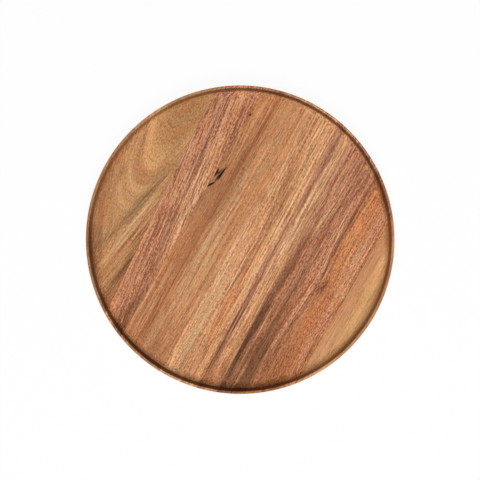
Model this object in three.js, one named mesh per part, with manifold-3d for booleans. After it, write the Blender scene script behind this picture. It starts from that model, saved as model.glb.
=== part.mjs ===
// A round serving plate, turned from an edge-glued panel of acacia staves.
//
// Six staves of different widths lie side by side with their grain along X, and a thin line of
// glue joins each pair of edges. The glued panel is turned about Z to one profile, so every stave
// carries its own stretch of the base, the heel, the rim and the well.
//
// Millimetres, +Z up. The origin is the centre of the base, on the surface that the plate stands on.

import * as THREE from "three";
import { mergeVertices, toCreasedNormals } from "three/addons/utils/BufferGeometryUtils.js";
import Module from "manifold-3d";

// Overall size
const PLATE_DIAMETER = 300; // across the outside of the rim
const PLATE_HEIGHT = 20; // from the table to the top of the lip

// Rim, which ends in a flat lip with softened edges
const RIM_THICKNESS = 3; // across the lip
const LIP_ROUNDING = 0.8; // radius of the lip's two edges
const RIM_INNER_LEAN = 12; // degrees from upright, opening the well upwards
const RIM_OUTER_LEAN = 8; // degrees from upright, drawing the outside in towards the heel

// Well
const FLOOR_THICKNESS = 8; // from the table to the floor of the well
const COVE_RADIUS = 7; // where the floor sweeps up into the rim

// Underside
const HEEL_RADIUS = 8; // the rounded corner that fingers reach under
const FOOT_RING_WIDTH = 30; // the flat ring that stands on the table
const RELIEF_DEPTH = 0.8; // the middle of the base is turned hollow, so that the plate can't rock
const RELIEF_EDGE = 2; // width of the slope between the foot ring and the relief

// Widths of the inner staves along the Y axis. The two outermost staves run out to the rim.
const RED_STAVE_WIDTH = 32.7;
const HONEY_STAVE_WIDTH = 51.2;
const TAN_STAVE_WIDTH = 52;
const HEART_STAVE_WIDTH = 67.6;
const CENTRE_JOINT_OFFSET = 2.5; // from the turning axis to the joint of the honey and tan staves

// Degrees between a joint and the X axis: the boards were jointed straight, but not ripped parallel.
const OLIVE_JOINT_SKEW = 3.8;
const CENTRE_JOINT_SKEW = -0.7;
const HEART_JOINT_SKEW = 1.9;

// Glue
const GLUE_THICKNESS = 0.2;
const GLUE_CLEARANCE = 0.05; // between a face of the glue and the edge of a stave
const GLUE_COLOUR = 0x6e4a2c;

// Facets
const TURN_STEPS = 96;
const ARC_STEP = 18; // degrees, the most that one facet of a round stretch turns
const MERGE_DISTANCE = 1e-4;
const CREASE_ANGLE = 35; // degrees between facets that still shade as one smooth surface

const radians = THREE.MathUtils.degToRad;
const plateRadius = PLATE_DIAMETER / 2;
const cutterReach = plateRadius * 1.2; // half the length of a cutter, well outside the rim
const cutterMargin = PLATE_HEIGHT; // how far a cutter stands out above and below the plate

// The joints in order from +Y to -Y, each with the point where it crosses the Y axis.
const redTop = CENTRE_JOINT_OFFSET + HONEY_STAVE_WIDTH + RED_STAVE_WIDTH;
const honeyTop = CENTRE_JOINT_OFFSET + HONEY_STAVE_WIDTH;
const heartTop = CENTRE_JOINT_OFFSET - TAN_STAVE_WIDTH;
const heartBottom = heartTop - HEART_STAVE_WIDTH;
const joints = [
  { name: "glue_line_1", crossing: redTop, skew: radians(OLIVE_JOINT_SKEW) },
  { name: "glue_line_2", crossing: honeyTop, skew: 0 },
  { name: "glue_line_3", crossing: CENTRE_JOINT_OFFSET, skew: radians(CENTRE_JOINT_SKEW) },
  { name: "glue_line_4", crossing: heartTop, skew: radians(HEART_JOINT_SKEW) },
  { name: "glue_line_5", crossing: heartBottom, skew: 0 },
];

// The staves in the same order, each with the mean colour of its wood.
const staves = [
  { name: "stave_1_olive", colour: 0xb98a58 },
  { name: "stave_2_red_streaked", colour: 0xb67a5c },
  { name: "stave_3_honey", colour: 0xbd8453 },
  { name: "stave_4_tan", colour: 0xc08a60 },
  { name: "stave_5_dark_heart", colour: 0xa36c49 },
  { name: "stave_6_pale", colour: 0xc49763 },
];

const wasm = await Module();
wasm.setup();

// A closed geometry as a solid that can be cut.
function toSolid(geometry) {
  const bare = geometry.clone();
  bare.deleteAttribute("normal");
  bare.deleteAttribute("uv");
  const merged = mergeVertices(bare, MERGE_DISTANCE);
  const corners = merged.index.array;
  const triVerts = [];
  for (let i = 0; i < corners.length; i += 3) {
    const [a, b, c] = corners.slice(i, i + 3);
    if (a !== b && b !== c && c !== a) triVerts.push(a, b, c);
  }
  return new wasm.Manifold(
    new wasm.Mesh({
      numProp: 3,
      vertProperties: merged.attributes.position.array,
      triVerts: new Uint32Array(triVerts),
    }),
  );
}

// A solid as a geometry, smooth along the turned curves and crisp at the edges of a cut.
function toGeometry(solid) {
  const { vertProperties, triVerts } = solid.getMesh();
  const geometry = new THREE.BufferGeometry();
  geometry.setAttribute("position", new THREE.BufferAttribute(vertProperties, 3));
  geometry.setIndex(new THREE.BufferAttribute(triVerts, 1));
  return toCreasedNormals(geometry, radians(CREASE_ANGLE));
}

// Points on an arc that goes through the given angles in turn, all of them included.
function arc(centre, radius, ...angles) {
  const turned = angles.slice(1).flatMap((to, i) => {
    const from = angles[i];
    const steps = Math.ceil(Math.abs(to - from) / radians(ARC_STEP));
    return Array.from({ length: steps }, (_, step) => from + ((to - from) * (step + 1)) / steps);
  });
  return [angles[0], ...turned].map(
    (angle) =>
      new THREE.Vector2(centre.x + radius * Math.cos(angle), centre.y + radius * Math.sin(angle)),
  );
}

// Half of the turned section, as radius and height: from the middle of the base out along the
// underside, up the heel and the rim, over the lip, and back down to the middle of the well.
function turnedProfile() {
  const inner = radians(RIM_INNER_LEAN);
  const outer = radians(RIM_OUTER_LEAN);
  const lipRadius = Math.min(LIP_ROUNDING, RIM_THICKNESS / 2);
  const lipLevel = PLATE_HEIGHT - lipRadius;
  const lipOutside = new THREE.Vector2(plateRadius - lipRadius, lipLevel);
  const lipInside = new THREE.Vector2(plateRadius - RIM_THICKNESS + lipRadius, lipLevel);
  const lip = [
    ...arc(lipOutside, lipRadius, -outer, 0, Math.PI / 2),
    ...arc(lipInside, lipRadius, Math.PI / 2, Math.PI - inner),
  ];

  // The heel touches the table and runs tangent into the leaning outside of the rim.
  const outside = lip.at(0);
  const outsideRun = (outside.y - HEEL_RADIUS * (1 - Math.sin(outer))) / Math.cos(outer);
  const heelCentre = new THREE.Vector2(
    outside.x - outsideRun * Math.sin(outer) - HEEL_RADIUS * Math.cos(outer),
    HEEL_RADIUS,
  );
  const heel = arc(heelCentre, HEEL_RADIUS, -Math.PI / 2, -outer);

  // The cove runs tangent from the leaning inside of the rim into the floor of the well.
  const inside = lip.at(-1);
  const wellDepth = inside.y - FLOOR_THICKNESS;
  const insideRun = (wellDepth - COVE_RADIUS * (1 - Math.sin(inner))) / Math.cos(inner);
  const coveCentre = new THREE.Vector2(
    inside.x - insideRun * Math.sin(inner) - COVE_RADIUS * Math.cos(inner),
    FLOOR_THICKNESS + COVE_RADIUS,
  );
  const cove = arc(coveCentre, COVE_RADIUS, -inner, -Math.PI / 2);

  const footInside = heelCentre.x - FOOT_RING_WIDTH;
  return [
    new THREE.Vector2(0, RELIEF_DEPTH),
    new THREE.Vector2(footInside - RELIEF_EDGE, RELIEF_DEPTH),
    new THREE.Vector2(footInside, 0),
    ...heel,
    ...lip,
    ...cove,
    new THREE.Vector2(0, FLOOR_THICKNESS),
  ];
}

// The whole panel turned to its profile, as if it were one board.
function turnedPanel() {
  const lathe = new THREE.LatheGeometry(turnedProfile(), TURN_STEPS);
  return toSolid(lathe.rotateX(Math.PI / 2));
}

// The two ends of a line that runs along a joint, moved sideways from it towards +Y.
function besideJoint({ crossing, skew }, sideways) {
  const middle = crossing + sideways / Math.cos(skew);
  const rise = cutterReach * Math.tan(skew);
  return [
    new THREE.Vector2(-cutterReach, middle - rise),
    new THREE.Vector2(cutterReach, middle + rise),
  ];
}

// A line that runs outside the panel, on its +Y side or its -Y side.
function outsidePanel(side) {
  return [
    new THREE.Vector2(-cutterReach, side * cutterReach),
    new THREE.Vector2(cutterReach, side * cutterReach),
  ];
}

// An upright slab between two lines, tall enough to cut right through the panel.
function slabBetween([lowLeft, lowRight], [highLeft, highRight]) {
  const outline = new THREE.Shape([lowLeft, lowRight, highRight, highLeft]);
  const depth = PLATE_HEIGHT + 2 * cutterMargin;
  const slab = new THREE.ExtrudeGeometry(outline, { depth, bevelEnabled: false });
  return toSolid(slab.translate(0, 0, -cutterMargin));
}

const panel = turnedPanel();
const plate = new THREE.Group();
plate.name = "serving_plate";

// One piece of the panel, between two lines. A plate that is turned smaller than the staves reach
// has nothing left of an outer one.
function addPiece(name, low, high, colour, roughness) {
  const solid = panel.intersect(slabBetween(low, high));
  if (solid.isEmpty()) return;
  const material = new THREE.MeshStandardMaterial({ color: colour, roughness, metalness: 0 });
  const mesh = new THREE.Mesh(toGeometry(solid), material);
  mesh.name = name;
  plate.add(mesh);
}

// Each stave stops short of the joint beside it by half the glue's thickness and the clearance.
const glueHalf = GLUE_THICKNESS / 2;
const setback = glueHalf + GLUE_CLEARANCE;
staves.forEach(({ name, colour }, i) => {
  const above = joints[i - 1];
  const below = joints[i];
  const low = below ? besideJoint(below, setback) : outsidePanel(-1);
  const high = above ? besideJoint(above, -setback) : outsidePanel(1);
  addPiece(name, low, high, colour, 0.5);
});

joints.forEach((joint) => {
  addPiece(joint.name, besideJoint(joint, -glueHalf), besideJoint(joint, glueHalf), GLUE_COLOUR, 0.4);
});

export default plate;
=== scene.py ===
# %% [markdown]
# A turned acacia plate
#
# This lesson dresses a round serving plate. The real one starts as six acacia boards, glued edge to
# edge into a panel. The panel is then turned on a lathe, so that the floor, the rim and the underside
# all show the same boards. The script follows that order: draw the section, spin it, slice it at the
# glue joints, give each board its own wood, and set up a small studio.
#
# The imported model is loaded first. It is the frame that every new piece has to fit, in metres.

# %% Load the frame
import math
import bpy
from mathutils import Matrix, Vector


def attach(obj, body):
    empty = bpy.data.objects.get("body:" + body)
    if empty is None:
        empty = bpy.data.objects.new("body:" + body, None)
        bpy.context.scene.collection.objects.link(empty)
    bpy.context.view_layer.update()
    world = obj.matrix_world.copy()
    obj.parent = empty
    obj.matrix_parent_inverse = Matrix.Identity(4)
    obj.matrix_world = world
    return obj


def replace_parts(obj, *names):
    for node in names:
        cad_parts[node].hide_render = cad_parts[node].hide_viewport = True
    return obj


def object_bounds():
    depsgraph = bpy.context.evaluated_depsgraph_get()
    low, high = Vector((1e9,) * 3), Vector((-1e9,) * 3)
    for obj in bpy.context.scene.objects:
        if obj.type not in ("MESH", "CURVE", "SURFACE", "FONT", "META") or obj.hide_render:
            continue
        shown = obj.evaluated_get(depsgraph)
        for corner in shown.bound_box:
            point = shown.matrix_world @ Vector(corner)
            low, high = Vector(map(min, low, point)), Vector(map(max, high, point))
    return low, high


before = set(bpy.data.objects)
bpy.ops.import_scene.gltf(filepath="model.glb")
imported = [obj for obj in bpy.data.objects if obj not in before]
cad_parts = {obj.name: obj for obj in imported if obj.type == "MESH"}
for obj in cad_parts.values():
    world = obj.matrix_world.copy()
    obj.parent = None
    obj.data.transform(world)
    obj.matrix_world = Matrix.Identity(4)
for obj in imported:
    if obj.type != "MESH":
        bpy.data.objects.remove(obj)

from types import SimpleNamespace

import bmesh
import bpy
from mathutils import Matrix, Vector

MM = 0.001
cad_low, cad_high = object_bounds()
plate_radius = (cad_high.x - cad_low.x) / 2
plate_height = cad_high.z - cad_low.z
print(f"plate {plate_radius * 2 / MM:.1f} mm across, {plate_height / MM:.1f} mm high")

# %% [markdown]
# The section of the plate
#
# A lathe tool leaves the same outline all the way round, so one half of the section says everything
# about the shape. It could be typed in as a long list of points. Drawing it like a tool path is easier
# to follow: a straight cut extrudes the last vertex to a new place, and a round cut spins the last
# vertex about the centre of its arc, which gives a true arc with as many steps as it needs.

# %% Straight cuts and round cuts
ARC_STEP = math.radians(8)
ANTICLOCKWISE = Vector((0, -1, 0))  # the turning axis of an arc in the XZ plane


def cut_to(section, tip, radius, height):
    """A straight cut from the last vertex to a radius and a height."""
    (tip,) = bmesh.ops.extrude_vert_indiv(section, verts=[tip])["verts"]
    tip.co = (radius, 0, height)
    return tip


def cut_round(section, tip, centre, angle):
    """A round cut about a centre, anticlockwise when the angle is positive."""
    steps = math.ceil(abs(angle) / ARC_STEP)
    made = bmesh.ops.spin(
        section, geom=[tip], cent=centre, axis=ANTICLOCKWISE, angle=angle, steps=steps
    )
    return next(item for item in made["geom_last"] if isinstance(item, bmesh.types.BMVert))


print(f"arcs are drawn in steps of {math.degrees(ARC_STEP):.0f} degrees")

# %% [markdown]
# The sizes of the section
#
# The wall of the plate leans out a little on both sides, runs into the floor through a hollow cove and
# into the base through a round heel. An arc that meets a straight line smoothly has its centre one
# radius away from that line, so the centres follow from the slopes and the radii, and no point of the
# section has to be guessed.

# %% Work out the section from a few sizes
RIM_THICKNESS = 3 * MM
LIP_ROUNDING = 0.8 * MM
RIM_INNER_LEAN = math.radians(12)
RIM_OUTER_LEAN = math.radians(8)
FLOOR_THICKNESS = 8 * MM
COVE_RADIUS = 7 * MM
HEEL_RADIUS = 8 * MM
FOOT_RING_WIDTH = 30 * MM
RELIEF_DEPTH = 0.8 * MM
RELIEF_EDGE = 2 * MM

lip_level = plate_height - LIP_ROUNDING
lip_outside = Vector((plate_radius - LIP_ROUNDING, 0, lip_level))
lip_inside = Vector((plate_radius - RIM_THICKNESS + LIP_ROUNDING, 0, lip_level))
outer_face = Vector((math.cos(RIM_OUTER_LEAN), 0, -math.sin(RIM_OUTER_LEAN)))
outer_slope = Vector((math.sin(RIM_OUTER_LEAN), 0, math.cos(RIM_OUTER_LEAN)))
inner_face = Vector((-math.cos(RIM_INNER_LEAN), 0, math.sin(RIM_INNER_LEAN)))
inner_slope = Vector((math.sin(RIM_INNER_LEAN), 0, math.cos(RIM_INNER_LEAN)))

rim_outside = lip_outside + outer_face * LIP_ROUNDING
heel_centre = rim_outside - outer_face * HEEL_RADIUS
heel_centre -= outer_slope * ((heel_centre.z - HEEL_RADIUS) / outer_slope.z)
rim_inside = lip_inside + inner_face * LIP_ROUNDING
cove_centre = rim_inside + inner_face * COVE_RADIUS
cove_centre -= inner_slope * ((cove_centre.z - FLOOR_THICKNESS - COVE_RADIUS) / inner_slope.z)
wall_foot = cove_centre - inner_face * COVE_RADIUS
foot_inside = heel_centre.x - FOOT_RING_WIDTH
print(f"flat floor to {cove_centre.x / MM:.1f} mm, wall foot at {wall_foot.z / MM:.1f} mm")

# %% Draw half of the section, from the middle of the underside to the middle of the floor
QUARTER_TURN = math.radians(90)
turned = bmesh.new()
tip = turned.verts.new((0, 0, RELIEF_DEPTH))
tip = cut_to(turned, tip, foot_inside - RELIEF_EDGE, RELIEF_DEPTH)
tip = cut_to(turned, tip, foot_inside, 0)
tip = cut_to(turned, tip, heel_centre.x, 0)
tip = cut_round(turned, tip, heel_centre, QUARTER_TURN - RIM_OUTER_LEAN)
tip = cut_to(turned, tip, rim_outside.x, rim_outside.z)
tip = cut_round(turned, tip, lip_outside, QUARTER_TURN + RIM_OUTER_LEAN)
tip = cut_to(turned, tip, lip_inside.x, plate_height)
tip = cut_round(turned, tip, lip_inside, QUARTER_TURN - RIM_INNER_LEAN)
tip = cut_to(turned, tip, wall_foot.x, wall_foot.z)
tip = cut_round(turned, tip, cove_centre, RIM_INNER_LEAN - QUARTER_TURN)
tip = cut_to(turned, tip, 0, FLOOR_THICKNESS)
print(f"section of {len(turned.verts)} vertices")

# %% [markdown]
# Turning the panel
#
# Spinning the section about the upright axis makes the whole plate in one go. A full spin comes back
# to its own start, so it is told to merge there, and the two ends of the section lie on the axis, so
# their copies are merged into single points as well. The normals are put right afterwards.

# %% Spin the section into a plate
TURN_STEPS = 288
FULL_TURN = 4 * QUARTER_TURN
MERGE_DISTANCE = 0.001 * MM
CENTRE = Vector((0, 0, 0))
UP = Vector((0, 0, 1))
bmesh.ops.spin(
    turned,
    geom=turned.verts[:] + turned.edges[:],
    cent=CENTRE,
    axis=UP,
    angle=FULL_TURN,
    steps=TURN_STEPS,
    use_merge=True,
)
bmesh.ops.remove_doubles(turned, verts=turned.verts[:], dist=MERGE_DISTANCE)
bmesh.ops.dissolve_degenerate(turned, edges=turned.edges[:], dist=MERGE_DISTANCE)
bmesh.ops.recalc_face_normals(turned, faces=turned.faces[:])
print(f"turned panel of {len(turned.faces)} faces")

# %% [markdown]
# The joints between the boards
#
# Each board of the real panel was jointed straight and glued to the next. Not all of the joints run
# along the grain: boards that taper a little waste less of the log. A joint is known by where it
# crosses the Y axis and by its angle to the X axis, which lies along the grain of the panel.

# %% The joints, from the +Y side to the -Y side
BOARD_WIDTHS = {"red": 32.7 * MM, "honey": 51.2 * MM, "tan": 52 * MM, "heart": 67.6 * MM}
CENTRE_JOINT = 2.5 * MM
honey_top = CENTRE_JOINT + BOARD_WIDTHS["honey"]
heart_top = CENTRE_JOINT - BOARD_WIDTHS["tan"]
JOINTS = [
    (honey_top + BOARD_WIDTHS["red"], math.radians(3.8)),
    (honey_top, 0),
    (CENTRE_JOINT, math.radians(-0.7)),
    (heart_top, math.radians(1.9)),
    (heart_top - BOARD_WIDTHS["heart"], 0),
]
for crossing, angle in JOINTS:
    print(f"joint at {crossing / MM:.1f} mm, turned {math.degrees(angle):.1f} degrees")

# %% [markdown]
# Slicing the panel
#
# Modelling six boards one by one would leave seams in the turned surface, so the finished plate is
# sliced instead: a bisecting plane on each side throws away what lies beyond it, and the open cut is
# filled. The turned surface is shaded smooth, and the edges of the cuts stay sharp.

# %% Cut the panel between two joints
SHARP_ANGLE = math.radians(20)


def trim(piece, joint, offset, keep):
    """Throw away what lies beyond a joint, moved by an offset, and close the cut."""
    crossing, angle = joint
    across = Vector((-math.sin(angle), math.cos(angle), 0))
    made = bmesh.ops.bisect_plane(
        piece,
        geom=piece.verts[:] + piece.edges[:] + piece.faces[:],
        dist=MERGE_DISTANCE,
        plane_co=Vector((0, crossing, 0)) + across * offset,
        plane_no=across * keep,
        clear_inner=True,
    )
    outline = [item for item in made["geom_cut"] if isinstance(item, bmesh.types.BMEdge)]
    cap = bmesh.ops.edgenet_fill(piece, edges=outline)["faces"]
    bmesh.ops.triangulate(piece, faces=cap)


def add_object(name, data):
    """A new object in the scene."""
    thing = bpy.data.objects.new(name, data)
    bpy.context.scene.collection.objects.link(thing)
    return thing


def sliced(name, above, below, setback):
    """The stretch of the turned panel between two joints, as an object that rides on the plate."""
    piece = turned.copy()
    if below:
        trim(piece, below, setback, 1)
    if above:
        trim(piece, above, -setback, -1)
    bmesh.ops.recalc_face_normals(piece, faces=piece.faces[:])
    for face in piece.faces:
        face.smooth = True
    for edge in piece.edges:
        edge.smooth = edge.calc_face_angle(0) < SHARP_ANGLE
    mesh = bpy.data.meshes.new(name)
    piece.to_mesh(mesh)
    piece.free()
    thing = add_object(name, mesh)
    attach(thing, "root")
    print(f"{name}: {len(mesh.polygons)} faces")
    return thing


print(f"edges of more than {math.degrees(SHARP_ANGLE):.0f} degrees stay sharp")

# %% Slice the six boards
STAVE_NODES = [
    "stave_1_olive",
    "stave_2_red_streaked",
    "stave_3_honey",
    "stave_4_tan",
    "stave_5_dark_heart",
    "stave_6_pale",
]
GLUE_THICKNESS = 0.2 * MM
setback = GLUE_THICKNESS / 2
boards = {}
for number, node in enumerate(STAVE_NODES):
    above = JOINTS[number - 1] if number > 0 else None
    below = JOINTS[number] if number < len(JOINTS) else None
    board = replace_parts(sliced(f"{node}_board", above, below, setback), node)
    boards[node] = board

# %% [markdown]
# The glue in the joints
#
# Glue squeezed between two planed edges is a film about a fifth of a millimetre thick. It is one more
# slice of the turned panel, between the two sides of a single joint, so it follows the floor, the wall
# and the lip exactly as the boards do.

# %% Slice the five glue lines
glue_lines = []
for number, joint in enumerate(JOINTS, start=1):
    node = f"glue_line_{number}"
    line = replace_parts(sliced(f"{node}_film", joint, joint, -setback), node)
    glue_lines.append(line)
turned.free()

# %% [markdown]
# Wood, node by node
#
# A wood shader needs many nodes, so one small function adds a node, sets its options and fills its
# inputs, each with a plain value or with the output of another node. Colours are written as the hex
# values that a colour picker shows, and one function turns them to the linear values that Blender
# renders with.

# %% Helpers for colours and nodes
BYTE = 255
SRGB_KNEE = 0.04045  # below this the sRGB curve is a straight line
SRGB_SLOPE = 12.92
SRGB_OFFSET = 0.055
SRGB_POWER = 2.4

# Sockets that share their names with others on the node are known by their places on it.
MIX_SHARE, VALUE_A, VALUE_B = 0, 2, 3
COLOUR_A, COLOUR_B, COLOUR_OUT = 6, 7, 2
VECTOR, VECTOR_FROM_MIN, VECTOR_FROM_MAX, VECTOR_TO_MIN, VECTOR_TO_MAX = 6, 7, 8, 9, 10


def linear(hex_colour):
    """A colour such as "#c08a60" as linear red, green, blue and alpha."""
    light = []
    for channel in bytes.fromhex(hex_colour.strip("#")):
        share = channel / BYTE
        if share <= SRGB_KNEE:
            light.append(share / SRGB_SLOPE)
        else:
            light.append(((share + SRGB_OFFSET) / (1 + SRGB_OFFSET)) ** SRGB_POWER)
    return (*light, 1.0)


def put(tree, kind, inputs=None, **options):
    """Add a node to a tree, set its options, and fill its inputs with values or with links."""
    node = tree.nodes.new(kind)
    for option, value in options.items():
        setattr(node, option, value)
    for key, value in (inputs or {}).items():
        if isinstance(value, bpy.types.NodeSocket):
            tree.links.new(value, node.inputs[key])
        else:
            node.inputs[key].default_value = value
    return node


print("mid grey in linear light:", [round(c, 3) for c in linear("#808080")])

# %% [markdown]
# The tones of acacia
#
# Acacia is a dense hardwood with strong contrast: pale straw sapwood, honey and russet heartwood, and
# smoky or plum coloured mineral streaks, all drawn out along the grain. One palette for all six boards
# keeps them looking like the same kind of tree.

# %% The palette
TONES = {
    "ivory": "#dfa678",
    "oat": "#d6a680",
    "cream": "#d89e71",
    "straw": "#d19d6b",
    "sand": "#c59a70",
    "olive": "#b9875b",
    "ochre": "#b27d50",
    "tan": "#cb946a",
    "honey": "#c48c61",
    "amber": "#b67d54",
    "chestnut": "#a26845",
    "russet": "#be7a4f",
    "rust": "#9b623e",
    "salmon": "#d09871",
    "coral": "#c58762",
    "rose": "#b87f60",
    "brick": "#a76f52",
    "mauve": "#8c5b43",
    "umber": "#7d4f33",
    "walnut": "#54321d",
    "smoke": "#9a7650",
    "bark": "#1d120c",
}
print(f"{len(TONES)} tones")

# %% [markdown]
# Patches shaped like a lens
#
# Streaks, knots and quiet or rippled places are all patches that are long with the grain and fade at
# their edges. An image could hold them, but a formula stays sharp at any distance and runs down into
# the wood. A Mapping node moves, turns and stretches space until the patch is a ball of radius one,
# and the distance from its middle then says how strong the patch is.

# %% Measure how far a place is from the middle of a lens
LENS_DEPTH = 70  # how far a patch reaches down through the board, in millimetres


def lens_place(tree, place, middle, half, angle):
    """A place as seen from the middle of a patch, in half lengths and half widths of the patch."""
    shape = {
        "Vector": place,
        "Location": (*middle, FLOOR_THICKNESS / MM),
        "Rotation": (0, 0, math.radians(angle)),
        "Scale": (*half, LENS_DEPTH),
    }
    return put(tree, "ShaderNodeMapping", shape, vector_type="TEXTURE").outputs[0]


def lens(tree, place, middle, half, angle):
    """How far a place is from the middle of a lens shaped patch, which ends at a distance of 1."""
    local = lens_place(tree, place, middle, half, angle)
    return put(tree, "ShaderNodeVectorMath", {0: local}, operation="LENGTH").outputs["Value"]


def patch(tree, place, middle, half, full, strength):
    """How strong a lens shaped patch is: nothing at its rim, and its strength within a full distance."""
    away = lens(tree, place, middle, half, 0)
    reach = {"Value": away, "From Min": 1, "From Max": full, "To Max": strength}
    return put(tree, "ShaderNodeMapRange", reach, interpolation_type="SMOOTHSTEP").outputs[0]


print(f"patches reach {LENS_DEPTH} mm into the wood")

# %% [markdown]
# The way the grain runs
#
# Straight stripes would look like print, so the grain is bent before anything is painted on it. A slow
# noise gives the small wander that every board has, and a bulge, which is a lens shape, pushes the
# grain aside as round a knot. Both only change the distance across the grain, so whatever is painted
# later on that distance bends with it.

# %% Let the grain wander, and push it aside
WANDER_SIZE = (110, 34, 34)  # millimetres along, across and down
WANDER_REACH = 2.2  # millimetres to either side
WANDER_DETAIL = 2


def stretched_noise(tree, place, size, **settings):
    """A noise from 0 to 1, drawn out to a size in millimetres along, across and down."""
    drawn_out = {"Vector": place, "Scale": size}
    drawn_out = put(tree, "ShaderNodeMapping", drawn_out, vector_type="TEXTURE").outputs[0]
    noise = {"Vector": drawn_out, "Scale": 1, **settings}
    return put(tree, "ShaderNodeTexNoise", noise).outputs["Fac"]


def wander(tree, board, seed):
    """How far the grain strays sideways at a place, in millimetres."""
    moved = put(tree, "ShaderNodeVectorMath", {0: board, 1: seed}).outputs[0]
    noise = stretched_noise(tree, moved, WANDER_SIZE, Detail=WANDER_DETAIL)
    reach = {"Value": noise, "To Min": -WANDER_REACH, "To Max": WANDER_REACH}
    return put(tree, "ShaderNodeMapRange", reach).outputs[0]


def push_aside(tree, plate, push, middle, half, shift):
    """Add a bulge to a sideways push. It moves the grain by the shift at its own middle."""
    bulge = patch(tree, plate, middle, half, 0, -shift)
    return put(tree, "ShaderNodeMath", {0: push, 1: bulge}).outputs[0]


print(f"grain wanders up to {WANDER_REACH} mm to either side")

# %% [markdown]
# Arched grain
#
# Where a board is sawn along the growth rings, they come out on its face as nested arches. Rings round
# a point would close up into a bull's eye, so the arches are parabolas: a place lies on the arch given
# by its distance along the middle line less the square of its distance from it. Outside the arches the
# grain goes over to straight lines again, and the grain above them fans away from the grain below.

# %% Turn the grain round an arch
ARCH_OUTSIDE = -1.3  # the grain starts to turn this many half lengths before the apex
ARCH_INSIDE = -0.3  # and from here on it follows the arch
ARCH_SPREAD = 0.6  # how far the rings of an arch are drawn apart, as a share of its half width
FAN_START = 2.0  # how far before the arch the grain starts to open, in half lengths of the arch
FAN_SLOPE = 0.45  # how much the grain above the arch turns away from the grain below it


def turn_round(tree, plate, across, apex, half, angle):
    """Bend a distance across the grain into arches that open to one side of their apex."""
    local = lens_place(tree, plate, apex, half, angle)
    x, y, _ = put(tree, "ShaderNodeSeparateXYZ", {0: local}).outputs
    rise = {"Value": y, "From Min": -1, "From Max": 1, "To Max": -FAN_SLOPE * half[0]}
    rise = put(tree, "ShaderNodeMapRange", rise, interpolation_type="SMOOTHSTEP").outputs[0]
    opening = put(tree, "ShaderNodeMath", {0: x, 1: FAN_START}).outputs[0]
    fan = {0: rise, 1: opening, 2: across}
    fan = put(tree, "ShaderNodeMath", fan, operation="MULTIPLY_ADD").outputs[0]
    curve = put(tree, "ShaderNodeMath", {0: y, 1: y}, operation="MULTIPLY").outputs[0]
    within = put(tree, "ShaderNodeMath", {0: x, 1: curve}, operation="SUBTRACT").outputs[0]
    nested = {0: within, 1: ARCH_SPREAD * half[1], 2: apex[1]}
    nested = put(tree, "ShaderNodeMath", nested, operation="MULTIPLY_ADD").outputs[0]
    inside = {"Value": within, "From Min": ARCH_OUTSIDE, "From Max": ARCH_INSIDE}
    inside = put(tree, "ShaderNodeMapRange", inside, interpolation_type="SMOOTHSTEP").outputs[0]
    turned_grain = {MIX_SHARE: inside, VALUE_A: fan, VALUE_B: nested}
    return put(tree, "ShaderNodeMix", turned_grain).outputs[0]


print(f"grain starts to turn {-ARCH_OUTSIDE} half lengths before an arch")

# %% [markdown]
# Starting a wood
#
# The pattern is built in millimetres on Object coordinates, so that it runs through the board like real
# wood and meets itself at the lip. A UV map would have to be cut open somewhere on the rim. Each wood
# keeps three views of a place: where it lies on the plate, where it would lie with its bulges pressed
# flat, and where it lies along and across its own grain. A seed moves every board to wood of its own.

# %% Start a wood
def start_wood(name, seed, lean=0, bulges=(), arch=None):
    """A new material, with the flow of its grain worked out from Object coordinates."""
    material = bpy.data.materials.new(name)
    material.use_nodes = True
    tree = material.node_tree
    tree.nodes.clear()
    place = put(tree, "ShaderNodeTexCoord").outputs["Object"]
    plate = {0: place, "Scale": 1 / MM}
    plate = put(tree, "ShaderNodeVectorMath", plate, operation="SCALE").outputs[0]
    board = {"Vector": plate, "Rotation": (0, 0, -math.radians(lean))}
    board = put(tree, "ShaderNodeMapping", board).outputs[0]
    along, across, depth = put(tree, "ShaderNodeSeparateXYZ", {0: board}).outputs

    push = wander(tree, board, seed)
    for middle, half, shift in bulges:
        push = push_aside(tree, plate, push, middle, half, shift)
    across = put(tree, "ShaderNodeMath", {0: across, 1: push}).outputs[0]
    if arch:
        across = turn_round(tree, plate, across, *arch)
    flow = put(tree, "ShaderNodeCombineXYZ", {0: along, 1: across, 2: depth}).outputs[0]
    aside = put(tree, "ShaderNodeCombineXYZ", {"Y": push}).outputs[0]
    bent = put(tree, "ShaderNodeVectorMath", {0: plate, 1: aside}).outputs[0]
    views = {"plate": plate, "bent": bent, "flow": flow, "across": across}
    return SimpleNamespace(material=material, tree=tree, seed=seed, streaks=0, **views)


print(f"patterns are drawn on Object coordinates times {1 / MM:.0f}")

# %% [markdown]
# Fibres
#
# Seen close, every board is combed with fine lines: growth rings, bundles of fibres, short dashes where
# the saw cut across a bundle, and flecks. One noise with many octaves would give them all the same
# shape, so each kind is a noise of its own, drawn out to its own length and width. Two more noises
# only shift the hue, slowly along the board and from fibre to fibre.
#
# The finest real fibres are a tenth of a millimetre wide, too fine to show at this distance, so the
# finest here are drawn about a millimetre wide. Grain shorter than a limit isn't bent round an arch,
# because short grain that is turned on end looks like scales.

# %% Comb fibres along the grain
GRAIN = {  # sizes in millimetres along, across and down
    "rings": {"size": (260, 9, 9), "Detail": 2, "Roughness": 0.5},
    "fibre": {"size": (90, 1.8, 1.8), "Detail": 1, "Roughness": 0.9},
    "dashes": {"size": (16, 1.2, 1.2), "Detail": 1, "Roughness": 0.7},
    "flecks": {"size": (2.5, 1, 1), "Detail": 0, "Roughness": 0.5},
    "tint": {"size": (130, 12, 12), "Detail": 3, "Roughness": 0.85},
    "hue": {"size": (10, 1.2, 1.2), "Detail": 1, "Roughness": 0.6},
}
SHORT_GRAIN = 12  # grain shorter than this lies straight along the board, in millimetres


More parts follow.
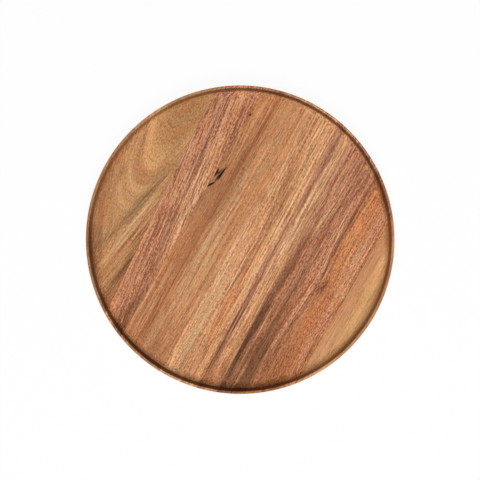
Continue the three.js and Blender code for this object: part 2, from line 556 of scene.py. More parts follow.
def add_fibres(wood):
    """A value from 0 to 1 for each kind of grain, low in dark wood and high in pale wood."""
    for kind, grain in GRAIN.items():
        path = wood.bent if grain["size"][0] < SHORT_GRAIN else wood.flow
        moved = put(wood.tree, "ShaderNodeVectorMath", {0: path, 1: wood.seed}).outputs[0]
        setattr(wood, kind, stretched_noise(wood.tree, moved, **grain))


for kind, grain in GRAIN.items():
    print(f"{kind}: {grain['size'][0]} mm long, {grain['size'][1]} mm wide")

# %% [markdown]
# Quiet wood and rippled wood
#
# Where a board was sawn flat along a growth ring, the fibres hardly show. Where the tree grew in small
# waves, faint bars run across the grain. Both come in patches, so both are lens shapes again, which
# change the noises before they are painted.

# %% Quieten a patch, or ripple it
MID_GRAIN = 0.5  # the mean of every noise
RIPPLE_SIZE = (4, 45, 45)  # millimetres along, across and down
PATCH_FADE = 0.4  # a patch has its full strength inside this share of its size


def quieten(wood, middle, half, share):
    """Take a share of the contrast out of the fibres inside a lens."""
    reach = patch(wood.tree, wood.plate, middle, half, PATCH_FADE, share)
    for kind in ("fibre", "dashes"):
        quiet = {MIX_SHARE: reach, VALUE_A: getattr(wood, kind), VALUE_B: MID_GRAIN}
        setattr(wood, kind, put(wood.tree, "ShaderNodeMix", quiet).outputs[0])


def ripple(wood, middle, half, strength):
    """Add bars across the grain to the flecks inside a lens."""
    tree = wood.tree
    reach = patch(tree, wood.plate, middle, half, PATCH_FADE, strength)
    bars = stretched_noise(tree, wood.plate, RIPPLE_SIZE)
    bars = put(tree, "ShaderNodeMath", {0: bars, 1: MID_GRAIN}, operation="SUBTRACT").outputs[0]
    bars = {0: bars, 1: reach, 2: wood.flecks}
    wood.flecks = put(tree, "ShaderNodeMath", bars, operation="MULTIPLY_ADD").outputs[0]


print(f"ripples {RIPPLE_SIZE[0]} mm apart")

# %% [markdown]
# Bands and streaks
#
# The broad change of tone across a board is a colour ramp on the distance across the grain. On top of
# it come single streaks, which are lens shapes with an edge that the fibres pull about, so that they
# look soaked into the wood and not drawn on it.
#
# A streak is given by its tone, the place of its middle and half its length and width, in millimetres
# on the plate. Its angle is in degrees. A ragged edge is pulled about more, and a soft one fades over
# more of the streak.

# %% Paint bands and streaks
RAGGED = 4.0  # how far the fibres pull the edge of a streak about
SOFT = 1.0  # the share of a streak over which it fades, from its rim inwards


def lay_bands(wood, bands):
    """A ramp of tones across the grain, given as millimetres across and a tone, from high to low."""
    high = bands[0][0]
    low = bands[-1][0]
    share = {"Value": wood.across, "From Min": low, "From Max": high}
    share = put(wood.tree, "ShaderNodeMapRange", share).outputs[0]
    ramp = put(wood.tree, "ShaderNodeValToRGB", {0: share})
    stops = ramp.color_ramp.elements
    ready_stops = len(stops)
    for number, (place, tone) in enumerate(reversed(bands)):
        position = (place - low) / (high - low)
        stop = stops[number] if number < ready_stops else stops.new(position)
        stop.position = position
        stop.color = linear(TONES[tone])
    wood.colour = ramp.outputs["Color"]
    print(f"{wood.material.name}: {len(bands)} bands")


def streak(wood, tone, middle, half, angle=0, strength=1, ragged=RAGGED, soft=SOFT, place=None):
    """A lens of another tone, which follows the bent grain unless it is given a place of its own."""
    tree = wood.tree
    away = lens(tree, place or wood.bent, middle, half, angle)
    edge = put(tree, "ShaderNodeMath", {0: MID_GRAIN, 1: wood.fibre}, operation="SUBTRACT").outputs[0]
    pulled = {0: edge, 1: ragged, 2: away}
    pulled = put(tree, "ShaderNodeMath", pulled, operation="MULTIPLY_ADD").outputs[0]
    fade = {"Value": pulled, "From Min": 1, "From Max": 1 - soft, "To Max": strength}
    fade = put(tree, "ShaderNodeMapRange", fade, interpolation_type="SMOOTHSTEP").outputs[0]
    mixed = {MIX_SHARE: fade, COLOUR_A: wood.colour, COLOUR_B: linear(TONES[tone])}
    wood.colour = put(tree, "ShaderNodeMix", mixed, data_type="RGBA").outputs[COLOUR_OUT]
    wood.streaks += 1


print(f"streaks fade over {SOFT:.0%} of their width unless they say otherwise")

# %% [markdown]
# Dark and pale fibres
#
# Last, the fibres darken and brighten everything. The kinds of grain are added up, each with its own
# contrast, and the sum multiplies the colour. Dark fibres are redder than the wood beside them and
# pale ones are whiter, so the three channels get different amounts. A plain grey multiplier would make
# the wood look dusty.

# %% Stain the wood with its fibres
WHITE = Vector((1, 1, 1))
DARK_FIBRE = Vector((0.47, 0.63, 0.68))  # the red, green and blue light that the darkest wood loses
PALE_FIBRE = Vector((0.39, 0.54, 0.6))  # and that the palest wood gains
COOL_TINT = Vector((0.83, 1.005, 1.13))  # the greyest and the most orange wood, beside their mean
WARM_TINT = Vector((1.19, 1.005, 0.835))


def comb(wood, **contrasts):
    """Darken what is dark in each kind of grain and brighten what is pale, by that kind's contrast."""
    tree = wood.tree
    shade = -MID_GRAIN * sum(contrasts.values())
    for kind, contrast in contrasts.items():
        shade = {0: getattr(wood, kind), 1: contrast, 2: shade}
        shade = put(tree, "ShaderNodeMath", shade, operation="MULTIPLY_ADD").outputs[0]
    stain = {
        VECTOR: shade,
        VECTOR_FROM_MIN: -WHITE,
        VECTOR_FROM_MAX: WHITE,
        VECTOR_TO_MIN: WHITE - DARK_FIBRE,
        VECTOR_TO_MAX: WHITE + PALE_FIBRE,
    }
    layers = [stain]
    for tint in (wood.tint, wood.hue):
        layers.append({VECTOR: tint, VECTOR_TO_MIN: COOL_TINT, VECTOR_TO_MAX: WARM_TINT})
    for layer in layers:
        layer = put(tree, "ShaderNodeMapRange", layer, data_type="FLOAT_VECTOR").outputs["Vector"]
        mixed = {MIX_SHARE: 1, COLOUR_A: wood.colour, COLOUR_B: layer}
        mixed = put(tree, "ShaderNodeMix", mixed, data_type="RGBA", blend_type="MULTIPLY")
        wood.colour = mixed.outputs[COLOUR_OUT]


print(f"dark fibres keep {1 - DARK_FIBRE.x:.0%} of their red and {1 - DARK_FIBRE.z:.0%} of their blue")

# %% [markdown]
# Painted shade under the rim
#
# The wall under the rim and the corner at its foot are painted darker, as shade that stands in for the
# light the rim keeps off them. The painted shade is deepest at the two ends of the boards, where the
# fibres end on the wall; that end grain is also really darker, as it drinks in more oil. The painted
# shade is limited to the wall and its corner by radius and height.

# %% Paint shade on the inside of the rim
# A dark brown that paints the shade on the wall under the rim and in its corner.
RIM_SHADE_BROWN = "#3a2418"
RIM_SHADE = 0.25  # how much painted shade the wall takes beside the grain
END_GRAIN_SHADE_AND_DARKENING = 0.5  # and how much more where the fibres end on it: painted shade, with the end grain's own darkening
RIM_SHADE_EDGE = 0.3 * MM  # the painted shade fades over this much to either side of the edge of the lip
LEVEL = (1, 1, 0)  # keeps how far out a place lies, and drops its height


def paint_rim_shade(wood):
    """Paint shade on the wall and its corner, most of all where the fibres end on it, whose end grain is
    also really darker.
    """
    tree = wood.tree
    x, _, z = put(tree, "ShaderNodeSeparateXYZ", {0: wood.plate}).outputs
    level = put(tree, "ShaderNodeVectorMath", {0: wood.plate, 1: LEVEL}, operation="MULTIPLY").outputs[0]
    radius = put(tree, "ShaderNodeVectorMath", {0: level}, operation="LENGTH").outputs["Value"]
    corner_start = (wall_foot.x - RIM_THICKNESS / 2) / MM
    corner = {"Value": radius, "From Min": corner_start, "From Max": wall_foot.x / MM}
    corner = put(tree, "ShaderNodeMapRange", corner, interpolation_type="SMOOTHSTEP").outputs[0]
    lip_start = (lip_inside.x - RIM_SHADE_EDGE) / MM
    lip_end = (lip_inside.x + RIM_SHADE_EDGE) / MM
    inside = {"Value": radius, "From Min": lip_end, "From Max": lip_start}
    inside = put(tree, "ShaderNodeMapRange", inside).outputs[0]
    above = {0: z, 1: FLOOR_THICKNESS / MM / 2}
    above = put(tree, "ShaderNodeMath", above, operation="GREATER_THAN").outputs[0]
    facing = put(tree, "ShaderNodeMath", {0: x, 1: radius}, operation="DIVIDE").outputs[0]
    ends = put(tree, "ShaderNodeMath", {0: facing, 1: facing}, operation="MULTIPLY").outputs[0]
    wall_shade = {"Value": ends, "To Min": RIM_SHADE, "To Max": RIM_SHADE + END_GRAIN_SHADE_AND_DARKENING}
    wall_shade = put(tree, "ShaderNodeMapRange", wall_shade).outputs[0]
    for limit in (corner, inside, above):
        wall_shade = put(tree, "ShaderNodeMath", {0: wall_shade, 1: limit}, operation="MULTIPLY").outputs[0]
    # The painted shade multiplies the colour of the wall and its corner.
    mixed = {MIX_SHARE: wall_shade, COLOUR_A: wood.colour, COLOUR_B: linear(RIM_SHADE_BROWN)}
    mixed = put(tree, "ShaderNodeMix", mixed, data_type="RGBA", blend_type="MULTIPLY")
    wood.colour = mixed.outputs[COLOUR_OUT]


# The stain printed here is the painted shade inside the rim.
print(f"the wall takes {RIM_SHADE:.0%} of the stain, and {RIM_SHADE + END_GRAIN_SHADE_AND_DARKENING:.0%} on end grain")

# %% [markdown]
# The oil finish
#
# The plate is sanded and rubbed with a drying oil, and not varnished. That leaves a soft satin sheen
# and keeps the pores of the wood open, as short dark dashes along the grain. Oil has an IOR of about
# 1.47. The surface is rough, and its open fibres swallow most of what a smooth film would mirror.

# %% Oil a board
PORE_SIZE = (8, 0.8, 0.8)  # millimetres along, across and down, wider than real pores so that they show
PORE_DETAIL = 1
PORE_EDGE = 0.6  # pores start where their noise is above this
PORE_CORE = 0.74  # and are darkest above this
PORE_DARKNESS = 0.45
PORE_DEPTH = 0.06 * MM
OIL_IOR = 1.47
OIL_SPECULAR = 0.2
OIL_ROUGHNESS = 0.55


def oil_board(wood, node):
    """Add pores, the painted shade inside the rim and the oiled surface, and put the wood on its board.
    """
    tree = wood.tree
    pores = stretched_noise(tree, wood.flow, PORE_SIZE, Detail=PORE_DETAIL)
    pores = {"Value": pores, "From Min": PORE_EDGE, "From Max": PORE_CORE, "To Max": PORE_DARKNESS}
    pores = put(tree, "ShaderNodeMapRange", pores).outputs[0]
    mixed = {MIX_SHARE: pores, COLOUR_A: wood.colour, COLOUR_B: linear(TONES["walnut"])}
    wood.colour = put(tree, "ShaderNodeMix", mixed, data_type="RGBA").outputs[COLOUR_OUT]
    # Paint shade on the wall under the rim and in its corner.
    paint_rim_shade(wood)
    relief = put(tree, "ShaderNodeMath", {0: wood.fibre, 1: pores}, operation="SUBTRACT").outputs[0]
    relief = put(tree, "ShaderNodeBump", {"Height": relief, "Distance": PORE_DEPTH}).outputs[0]
    surface = {
        "Base Color": wood.colour,
        "Roughness": OIL_ROUGHNESS,
        "IOR": OIL_IOR,
        "Specular IOR Level": OIL_SPECULAR,
        "Normal": relief,
    }
    surface = put(tree, "ShaderNodeBsdfPrincipled", surface).outputs[0]
    put(tree, "ShaderNodeOutputMaterial", {"Surface": surface})
    boards[node].data.materials.append(wood.material)
    print(f"{wood.material.name}: {wood.streaks} streaks, {len(tree.nodes)} nodes")


print(f"pores are dashes {PORE_SIZE[0]} mm long")

# %% [markdown]
# The olive board
#
# This board was sawn along the growth rings near the outside of the log. The rings show as nested
# arches that open to one side, in quiet wood, with smoky green streaks sweeping in under them. The
# arches are bands on the bent grain, and a few large lenses, one inside the other, mark their rims.

# %% Start the olive board
# Oiled acacia sapwood: olive tan, with a satin sheen and soft arches.
wood = start_wood("oiled_acacia_olive_sapwood", seed=(0, 0, 0), lean=-10, arch=((10, 113), (45, 20), 0))
add_fibres(wood)
quieten(wood, (75, 111), (95, 32), share=0.85)
quieten(wood, (-5, 117), (62, 24), share=0.85)
lay_bands(wood, [
    (150, "amber"), (124, "olive"), (113, "olive"), (104, "olive"), (94, "olive"),
    (83, "honey"), (77, "olive"), (70, "olive"), (60, "chestnut"),
])

# %% Arches and sweeping streaks of the olive board
streak(wood, "sand", (56, 114), (106, 32), strength=0.7)
for tone, middle, half in [
    ("straw", (66, 113.5), (100, 31)),
    ("olive", (68, 113.5), (95, 30)),
    ("straw", (70, 113.5), (84, 28.5)),
    ("amber", (72, 113), (79, 27.5)),
]:
    streak(wood, tone, middle, half, strength=0.7, ragged=1, soft=0.07)
streak(wood, "straw", (74, 112), (66, 24), ragged=1, soft=0.15)
streak(wood, "ochre", (92, 109), (66, 26), strength=0.85, ragged=1, soft=0.5)
streak(wood, "smoke", (-15, 103), (70, 8), angle=-9.5, strength=0.8)
streak(wood, "smoke", (38, 100.5), (34, 5.5), angle=-12, strength=0.6)
streak(wood, "smoke", (-30, 101), (28, 3), angle=-9, ragged=2)
streak(wood, "sand", (-38, 97.5), (48, 4), angle=-8, strength=0.7, ragged=2)
streak(wood, "sand", (-62, 101), (22, 2.5), angle=-8, strength=0.8)
for middle, half in [
    ((-8, 100.5), (56, 1.6)),
    ((-48, 110), (36, 1.2)),
    ((12, 94.5), (44, 1.3)),
    ((-55, 95), (45, 1)),
]:
    streak(wood, "umber", middle, half, angle=-10, strength=0.8)
streak(wood, "amber", (-95, 100), (30, 6), angle=-8, strength=0.8)
print(f"{wood.streaks} streaks in and under the arches")

# %% Darker edges of the olive board, painted shade by its rim, and its oil
streak(wood, "umber", (-74, 85), (62, 6), angle=-4)
streak(wood, "chestnut", (2, 88.5), (32, 2), angle=3, strength=0.8)
# Painted shade: these five lenses darken the wood at the foot of the wall, near the rim.
streak(wood, "umber", (-80, 121), (52, 8), angle=35, strength=0.9, ragged=2)
streak(wood, "umber", (-64, 122), (40, 5), angle=28, strength=0.8, ragged=2)
streak(wood, "chestnut", (-5, 143), (60, 8), strength=0.8, ragged=2)
streak(wood, "chestnut", (-36, 134), (38, 9), angle=15, strength=0.9, ragged=2)
streak(wood, "chestnut", (0, 133), (24, 3.5), strength=0.6, ragged=2)
comb(wood, rings=1.3, fibre=2.2, dashes=1.8, flecks=1.9)
oil_board(wood, "stave_1_olive")

# %% [markdown]
# The red streaked board
#
# Salmon wood with plum and brick coloured lines, close together and straight, in grain that leans
# against the edges of the board. Thin, strong streaks give the lines, and the fibres get more contrast
# than on any other board but the dark one.

# %% Start the red streaked board
# Oiled acacia heartwood: salmon red, combed with dark lines that catch the eye first.
wood = start_wood("oiled_acacia_red_streaked", seed=(310, 40, 0), lean=6.8)
add_fibres(wood)
lay_bands(wood, [
    (100, "rose"), (88, "coral"), (84, "coral"), (80, "rose"), (76, "coral"),
    (72, "rose"), (68, "rose"), (64, "rose"), (60, "coral"), (56, "salmon"),
    (52, "coral"), (48, "coral"), (44, "rose"), (38, "coral"),
])

# %% Plum, brick and salmon streaks of the red board, and its oil
streak(wood, "umber", (-128, 57.5), (80, 12), angle=4)
for middle, half in [
    ((-20, 65), (120, 1.4)),
    ((60, 75.5), (90, 1.4)),
    ((85, 57), (60, 1.2)),
    ((-60, 77), (80, 1.2)),
]:
    streak(wood, "mauve", middle, half, angle=7, strength=0.8)
streak(wood, "brick", (74, 55), (18, 3), angle=4, strength=0.8)
streak(wood, "ivory", (40, 67), (50, 3.8), angle=6, ragged=3)
streak(wood, "salmon", (33, 65), (92, 3.2), angle=7, strength=0.9, ragged=2)
streak(wood, "salmon", (-10, 72), (46, 4), angle=4, ragged=2)
streak(wood, "salmon", (-30, 56), (30, 2.5), angle=5, strength=0.8)
streak(wood, "brick", (98, 68.5), (35, 2.8), angle=7, ragged=3)
streak(wood, "brick", (96, 88.5), (40, 3.5), angle=4, strength=0.8)
streak(wood, "brick", (28, 80.5), (48, 2), angle=3, strength=0.8)
streak(wood, "brick", (-92, 77.5), (28, 2.5), angle=5, strength=0.8)
streak(wood, "coral", (-90, 71.5), (24, 2), angle=6, strength=0.8)
streak(wood, "tan", (12, 56.5), (40, 3.2), ragged=2)
streak(wood, "salmon", (6, 57), (32, 3), strength=0.8, ragged=2)
streak(wood, "salmon", (-90, 65), (22, 2.4), angle=6, strength=0.8, ragged=2)
streak(wood, "salmon", (33, 63.5), (28, 2.8), angle=7, ragged=1.2)
streak(wood, "brick", (-90, 73), (26, 2.2), angle=6, strength=0.7)
streak(wood, "umber", (-126, 63), (20, 4), angle=4, strength=0.7)
comb(wood, rings=0.2, fibre=4.4, dashes=4, flecks=3.2)
oil_board(wood, "stave_2_red_streaked")

# %% [markdown]
# The honey board
#
# Even, straight honey coloured wood with one redder band. Its one blemish is a bark pocket, where the
# tree grew over a scrap of its own bark: a black claw about 25 mm long, with a pin knot further on. The
# claw is four small lenses that overlap. They are laid on after the fibres, because bark has no grain.

# %% Start the honey board
# Oiled acacia: warm honey brown and calm, so that the blemish stands out.
wood = start_wood("oiled_acacia_honey", seed=(620, 80, 0), bulges=[((125, 62), (70, 26), 7)])
add_fibres(wood)
quieten(wood, (20, 18), (160, 17), share=0.4)
ripple(wood, (30, 24), (60, 14), strength=0.4)
lay_bands(wood, [
    (62, "amber"), (44, "amber"), (40, "amber"), (36, "chestnut"), (32, "amber"), (28, "honey"),
    (24, "tan"), (20, "honey"), (8, "honey"), (0, "tan"),
])

# %% Streaks of the honey board
streak(wood, "chestnut", (30, 43), (65, 10), strength=0.55)
streak(wood, "rust", (30, 36.5), (85, 3.2))
streak(wood, "sand", (-20, 23.5), (75, 8), strength=0.7)
streak(wood, "oat", (12, 22.5), (48, 3.5), ragged=3)
streak(wood, "amber", (118, 25), (50, 4))
streak(wood, "honey", (92, 47), (30, 9))
streak(wood, "cream", (92, 20), (52, 3.5), strength=0.9)
streak(wood, "sand", (-28, 15), (28, 4.5), strength=0.8)
streak(wood, "amber", (-130, 9), (32, 7))
streak(wood, "amber", (-134, 18), (44, 19))
streak(wood, "honey", (-98, 45), (40, 6), strength=0.7)
streak(wood, "amber", (122, 34), (26, 6))
streak(wood, "amber", (30, 29), (26, 2.4), strength=0.7)
streak(wood, "chestnut", (-134, 18), (34, 19), strength=0.8)
streak(wood, "cream", (28, 4.5), (32, 2.2), strength=0.8)
comb(wood, rings=0.8, fibre=2.4, dashes=2, flecks=1.7)
print(f"{wood.streaks} streaks on the honey board")

# %% Bark pocket and pin knot of the honey board, and its oil
BARK_CLAW = [
    ((33, 51.4), (5.6, 1.3), -34),
    ((44.5, 48.6), (12, 1.8), -7),
    ((45.8, 52.5), (5.5, 1.1), 3),
    ((47.7, 50.3), (5, 1), -15),
]
PIN_KNOT = ((110, 52.5), (2.2, 1.5), 0)
for middle, half, angle in [*BARK_CLAW, PIN_KNOT]:
    streak(wood, "bark", middle, half, angle, ragged=2, soft=0.6, place=wood.plate)
oil_board(wood, "stave_3_honey")

# %% [markdown]
# The tan board
#
# Cream and tan wood with rusty streaks, and one long dark streak that runs nearly its whole length. The
# dark streak is built like the real one, from a wide brown patch with several thin lines inside it.

# %% Start the tan board
# Oiled acacia: the palest wood in the middle of the plate, with lively light and dark lines.
wood = start_wood("oiled_acacia_tan", seed=(930, 120, 0), lean=1.5)
add_fibres(wood)
quieten(wood, (-60, -6), (120, 10), share=0.5)
ripple(wood, (70, -18), (60, 14), strength=0.3)
lay_bands(wood, [
    (6, "tan"), (1, "cream"), (-5, "tan"), (-13, "cream"), (-17, "honey"),
    (-21, "honey"), (-25, "cream"), (-30, "cream"), (-34, "rose"), (-37, "rose"),
    (-41, "cream"), (-45, "tan"), (-49, "honey"), (-56, "honey"),
])

# %% Pale and rusty streaks of the tan board
streak(wood, "sand", (-95, -6), (85, 8), strength=0.9)
streak(wood, "smoke", (-125, -12.5), (50, 2.5), strength=0.7)
streak(wood, "oat", (-10, 0), (75, 4))
streak(wood, "oat", (-45, -14.5), (40, 3), strength=0.8)
streak(wood, "ivory", (-40, -13), (46, 4.4), ragged=2)
streak(wood, "oat", (-40, -13.5), (52, 5.4), ragged=1.2)
streak(wood, "russet", (114, -12.5), (36, 3.2))
streak(wood, "ivory", (124, -16.5), (32, 4), strength=0.9)
streak(wood, "russet", (-60, -20.5), (90, 3), angle=1)
streak(wood, "honey", (-85, -29), (65, 4), angle=1, ragged=2)
streak(wood, "amber", (-132, -24), (30, 7), strength=0.7)
streak(wood, "honey", (-60, -28.5), (32, 3), strength=0.8, ragged=1.5)
streak(wood, "ivory", (60, -25.5), (90, 3.5), strength=0.8, ragged=2)
streak(wood, "ivory", (-18, -24.5), (55, 3.2), strength=0.9, ragged=2)
streak(wood, "chestnut", (72, -10), (46, 4.5), angle=4, strength=0.9)
print(f"{wood.streaks} pale and rusty streaks")

# %% The long dark streak of the tan board
streak(wood, "brick", (-115, -36.5), (85, 4), angle=1.8)
for middle, half in [
    ((-95, -36), (60, 1.3)),
    ((-125, -37), (50, 1.3)),
    ((-72, -38.5), (25, 1)),
    ((-42, -34.5), (26, 1.2)),
    ((-128, -35.5), (30, 1.4)),
]:
    streak(wood, "walnut", middle, half, angle=1)
for middle, half in [
    ((110, -34.5), (80, 1.6)),
    ((112, -36.5), (50, 1.2)),
    ((20, -33.5), (65, 1.4)),
    ((-35, -36.5), (28, 1.6)),
]:
    streak(wood, "mauve", middle, half, angle=1.5)
print(f"{wood.streaks} streaks with the dark one")

# %% Streaks beside the dark one, and the oil of the tan board
streak(wood, "amber", (-110, -49), (60, 6), angle=1.9)
streak(wood, "oat", (30, -40.5), (110, 4.6), angle=1, ragged=1.2)
streak(wood, "honey", (-30, -44.5), (34, 2.6), strength=0.8, ragged=2)
streak(wood, "oat", (58, -42), (48, 4), strength=0.7, ragged=1.5)
streak(wood, "ivory", (98, -24), (38, 3), strength=0.9, ragged=2)
streak(wood, "rust", (-124, -52), (30, 4), angle=2, strength=0.8, ragged=2)
streak(wood, "ivory", (60, -28.5), (42, 3.4), ragged=2)
streak(wood, "brick", (130, -47), (38, 3.5))
streak(wood, "umber", (-118, -36.3), (46, 4.8), ragged=1.5)
streak(wood, "walnut", (-122, -36.5), (34, 2.6), strength=0.6, ragged=2)
streak(wood, "mauve", (62, -36), (26, 1.8), strength=0.8)
streak(wood, "chestnut", (-140, -42), (40, 12), strength=0.8)
comb(wood, rings=1, fibre=3.5, dashes=2.8, flecks=2.4)
oil_board(wood, "stave_4_tan")

# %% [markdown]
# The dark heart board
#
# Sawn next to the heart of the tree. One edge is nearly black, mauve brown lies beside it, and a pale
# streak dips round a small knot. Below the knot the wood is an even reddish brown, with faint ripples.
# A bulge in the grain carries the streaks round the knot, and the knot itself is two dark lenses.

# %% Start the dark heart board
# Oiled acacia heartwood: the darkest and reddest board, with the strongest fibres.
wood = start_wood("oiled_acacia_dark_heart", seed=(1240, 160, 0), bulges=[((3, -91), (58, 18), -3)])
add_fibres(wood)
quieten(wood, (0, -103), (150, 17), share=0.6)
ripple(wood, (0, -100), (90, 16), strength=0.3)
lay_bands(wood, [
    (-44, "rose"), (-54, "rose"), (-60, "coral"), (-64, "rose"), (-68, "brick"), (-72, "rose"),
    (-76, "rose"), (-80, "coral"), (-85, "brick"), (-90, "russet"), (-104, "russet"), (-108, "coral"),
    (-113, "coral"), (-116, "russet"), (-118, "umber"),
])

# %% The dark edge of the heart board
streak(wood, "umber", (-115, -69), (165, 20), angle=-1, ragged=2)
streak(wood, "walnut", (-75, -55.5), (150, 7.5), angle=0.3, ragged=2)
streak(wood, "umber", (10, -57.5), (75, 4), ragged=2)
streak(wood, "umber", (35, -69.5), (60, 2), angle=0.5, strength=0.9)
streak(wood, "coral", (-75, -61), (50, 1.6), strength=0.9)
for middle, half in [((-55, -65.5), (60, 1.6)), ((-50, -73), (70, 1.6))]:
    streak(wood, "russet", middle, half, angle=-0.5)
for middle, half in [((-80, -63), (60, 1.2)), ((-70, -69.5), (80, 1.4)), ((-75, -76.3), (60, 1.2))]:
    streak(wood, "walnut", middle, half, angle=-0.5, strength=0.7)
streak(wood, "rust", (-115, -92), (95, 22))
streak(wood, "umber", (-105, -70), (60, 14), strength=0.9, ragged=2)
streak(wood, "umber", (-94, -76), (48, 5.5), ragged=1)
streak(wood, "umber", (0, -60), (20, 3), strength=0.9)
streak(wood, "umber", (-75, -71), (66, 9), strength=0.5, ragged=2)
streak(wood, "walnut", (-94, -72), (44, 9), strength=0.4, ragged=1.5)
print(f"{wood.streaks} streaks along the dark edge")

# %% Pale streaks of the heart board, and the one that dips round the knot
streak(wood, "oat", (56, -61), (46, 2.8), strength=0.7, ragged=2)
streak(wood, "salmon", (52, -63), (40, 3), strength=0.9, ragged=2)
streak(wood, "oat", (60, -64.5), (30, 2.2), strength=0.5, ragged=1.5)
streak(wood, "brick", (128, -60), (28, 3.5), strength=0.9)
streak(wood, "coral", (4, -78.5), (28, 2.2), strength=0.8)
streak(wood, "coral", (92, -72), (26, 2), strength=0.9)
streak(wood, "brick", (92, -77.5), (24, 1.5))
streak(wood, "tan", (-116, -66), (22, 2), strength=0.5, ragged=2)
streak(wood, "salmon", (-40, -80.5), (62, 2.6), angle=-2, strength=0.7, ragged=1.5)
streak(wood, "coral", (-12, -81), (34, 3), strength=0.5)
streak(wood, "coral", (-4, -87), (30, 2.6), strength=0.8)
streak(wood, "coral", (-32, -84), (26, 2.4), angle=-2, strength=0.8)
streak(wood, "salmon", (64, -79.8), (72, 3.2), angle=1, strength=0.7, ragged=1.5)
print(f"{wood.streaks} streaks with the pale ones")

# %% The knot of the heart board, painted shade by its rim, and its oil
streak(wood, "umber", (75, -85), (68, 2))
streak(wood, "umber", (-74, -83.5), (38, 1.6), angle=-3, strength=0.7)
# Painted shade: this lens darkens the wood at the foot of the wall, near the rim.
streak(wood, "umber", (106, -100), (44, 6.5), angle=47, strength=0.8, ragged=2)
streak(wood, "cream", (24, -108), (60, 12), strength=0.7, ragged=1.5)
streak(wood, "cream", (30, -100.5), (26, 3.5), strength=0.6)
streak(wood, "chestnut", (-66, -114), (36, 6.5), strength=0.8, ragged=2)
streak(wood, "chestnut", (-62, -116.5), (28, 2.6), ragged=2)
streak(wood, "cream", (0, -115.5), (42, 3.4), strength=0.8, ragged=2)
streak(wood, "umber", (-2, -92.5), (16, 4.8), angle=-6, place=wood.plate)
streak(wood, "walnut", (3, -94), (11, 1.3), angle=-4, strength=0.6, place=wood.plate)
comb(wood, rings=1, fibre=4.5, dashes=3.4, flecks=3)
oil_board(wood, "stave_5_dark_heart")

# %% [markdown]
# The pale board
#
# Plain sapwood from just under the bark, in quiet straw and tan bands. Its bands and fibres do nearly
# all of the work. Three long lenses paint shade on it where it runs out under the rim.

# %% Dress the pale board
# Oiled acacia sapwood: the palest and plainest board, nearly without lines.
wood = start_wood("oiled_acacia_pale_sapwood", seed=(1550, 200, 0))
add_fibres(wood)
lay_bands(wood, [
    (-110, "honey"), (-118, "honey"), (-126, "tan"), (-131, "straw"), (-136, "straw"), (-150, "olive"),
])
# Painted shade: three chestnut lenses darken the board at the foot of the wall under the rim.
streak(wood, "chestnut", (76, -123), (48, 6), angle=31, strength=0.8, ragged=2)
streak(wood, "chestnut", (38, -143), (56, 5), angle=15, strength=0.8, ragged=2)
streak(wood, "chestnut", (-38, -143), (56, 5), angle=-15, strength=0.5, ragged=2)
comb(wood, rings=0.5, fibre=1.8, dashes=1, flecks=0.8)
oil_board(wood, "stave_6_pale")

# %% [markdown]
# The finish of the glue lines
#
# Cured wood glue in a sanded joint is a thin brown line, a little glossier than the wood beside it. It
# is too thin to show a pattern, so one plain colour on the default shader is enough.

# %% Dress the glue lines
# Cured wood glue, sanded flush: it gives the eye a fine dark line that separates two boards.
GLUE_BROWN = "#6e4a2c"
GLUE_ROUGHNESS = 0.4
glue = bpy.data.materials.new("cured_wood_glue")
glue.use_nodes = True
glue_finish = glue.node_tree.nodes["Principled BSDF"]
glue_finish.inputs["Base Color"].default_value = linear(GLUE_BROWN)
glue_finish.inputs["Roughness"].default_value = GLUE_ROUGHNESS
for line in glue_lines:
    line.data.materials.append(glue)
print(f"{glue.name} on {len(glue_lines)} joints")

# %% [markdown]
# The floor of the studio
#
# The plate lies on a sheet of white paper. One large grid face is enough for it, a little below the
# foot ring so that the two surfaces don't fight for the same place.

# %% Lay the floor
FLOOR_SIZE = 6.0  # metres
FLOOR_DROP = 0.2 * MM
sheet = bmesh.new()
bmesh.ops.create_grid(sheet, x_segments=1, y_segments=1, size=FLOOR_SIZE / 2)
bmesh.ops.translate(sheet, verts=sheet.verts[:], vec=UP * -FLOOR_DROP)
floor_mesh = bpy.data.meshes.new("studio_floor")
sheet.to_mesh(floor_mesh)
sheet.free()
floor = add_object("studio_floor", floor_mesh)
print(f"floor {FLOOR_SIZE:.0f} m across")

# %% [markdown]
# White paper
#
# In a catalogue picture the paper is brighter than the light alone would make it, and shadows on it
# are washed out. Brighter lamps would burn out the plate as well. So the paper glows, but only for
# rays that look at it. For the light that bounces from it up to the plate it stays plain matte paper.

# %% Make the paper
# Matte white paper: an even white ground with hardly a shadow.
PAPER_WHITE = "#f4f4f2"
PAPER_GLOW = 0.93  # how much of the glow is mixed in
GLOW_WHITE = (1, 1, 1, 1)
paper = bpy.data.materials.new("white_paper_sweep")
paper.use_nodes = True
tree = paper.node_tree
tree.nodes.clear()
rays = put(tree, "ShaderNodeLightPath").outputs
seen = rays["Is Camera Ray"]
for ray in ("Is Glossy Ray", "Is Transmission Ray"):
    seen = put(tree, "ShaderNodeMath", {0: seen, 1: rays[ray]}, operation="MAXIMUM").outputs[0]
seen = put(tree, "ShaderNodeMath", {0: seen, 1: PAPER_GLOW}, operation="MULTIPLY").outputs[0]
matte = put(tree, "ShaderNodeBsdfDiffuse", {"Color": linear(PAPER_WHITE)}).outputs[0]
glow = put(tree, "ShaderNodeEmission", {"Color": GLOW_WHITE, "Strength": 1}).outputs[0]
surface = put(tree, "ShaderNodeMixShader", {0: seen, 1: matte, 2: glow}).outputs[0]
put(tree, "ShaderNodeOutputMaterial", {"Surface": surface})
floor_mesh.materials.append(paper)
print(f"{paper.name}: {len(tree.nodes)} nodes")

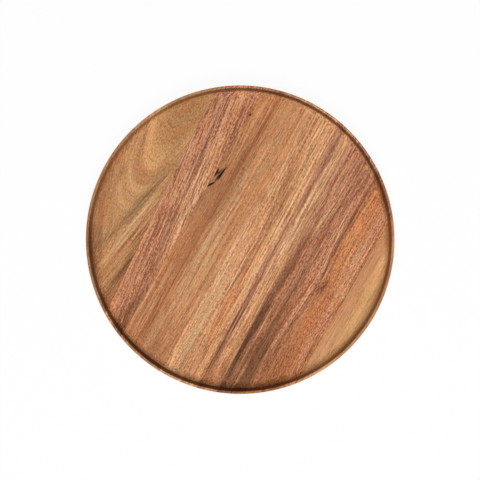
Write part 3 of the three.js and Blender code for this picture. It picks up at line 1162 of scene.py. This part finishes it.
# %% [markdown]
# The lights
#
# A large softbox stands to one side, so that the wall next to it lies in its own shade and shadows the
# floor at its foot. A second one hangs overhead and fills everything evenly. Lamp power in watts says
# little, so each lamp is given a share of the light that makes white paper white: the shares and the
# light from all round then add up to the exposure.
#
# The overhead softbox is hidden from glossy rays. Its mirror image in the oil would lie right under
# the camera and put a grey veil over the wood.

# %% Hang the lights
AIR_SHARE = 0.06


def softbox(name, azimuth, elevation, distance, size, share):
    """A square lamp aimed at the plate, with its angles in degrees and its sizes in metres."""
    around, up = math.radians(azimuth), math.radians(elevation)
    toward = Vector((math.cos(up) * math.cos(around), math.cos(up) * math.sin(around), math.sin(up)))
    lamp = bpy.data.lights.new(name, "AREA")
    lamp.size = size
    lamp.energy = share * (math.pi * distance) ** 2 / toward.z
    thing = add_object(name, lamp)
    thing.location = toward * distance
    thing.rotation_euler = toward.to_track_quat("Z", "Y").to_euler()
    print(f"{name}: {lamp.energy:.0f} W")
    return thing


softbox("key_softbox", azimuth=218, elevation=60, distance=2.2, size=0.8, share=0.5)
overhead = softbox("overhead_softbox", azimuth=0, elevation=90, distance=3.0, size=1.0, share=0.49)
overhead.visible_glossy = False
world = bpy.data.worlds.new("studio_air")
world.use_nodes = True
air = world.node_tree.nodes["Background"].inputs
air["Color"].default_value = GLOW_WHITE
air["Strength"].default_value = AIR_SHARE
bpy.context.scene.world = world

# %% [markdown]
# The camera
#
# The camera looks down on the plate from a long way off, with the grain running up to the right. It
# isn't quite upright: a tilt of two degrees moves the lip a little against the floor, so that the wall
# shows more on one side than on the other. The lens follows from the width of the picture at the lip.

# %% Set up the camera
FRAME_WIDTH = 466.3 * MM
CAMERA_DISTANCE = 2.5  # metres above the lip
CAMERA_TILT = math.radians(2.1)
CAMERA_TURN = math.radians(-60)
film = bpy.data.cameras.new("overhead_camera")
film.lens = film.sensor_width * CAMERA_DISTANCE / FRAME_WIDTH
camera = add_object("overhead_camera", film)
turn = Matrix.Rotation(CAMERA_TILT, 3, "Y") @ Matrix.Rotation(CAMERA_TURN, 3, "Z")
camera.location = UP * plate_height + turn @ UP * CAMERA_DISTANCE
camera.rotation_euler = turn.to_euler()
bpy.context.scene.camera = camera
bpy.context.scene.view_settings.view_transform = "Standard"
print(f"camera lens {film.lens:.0f} mm")
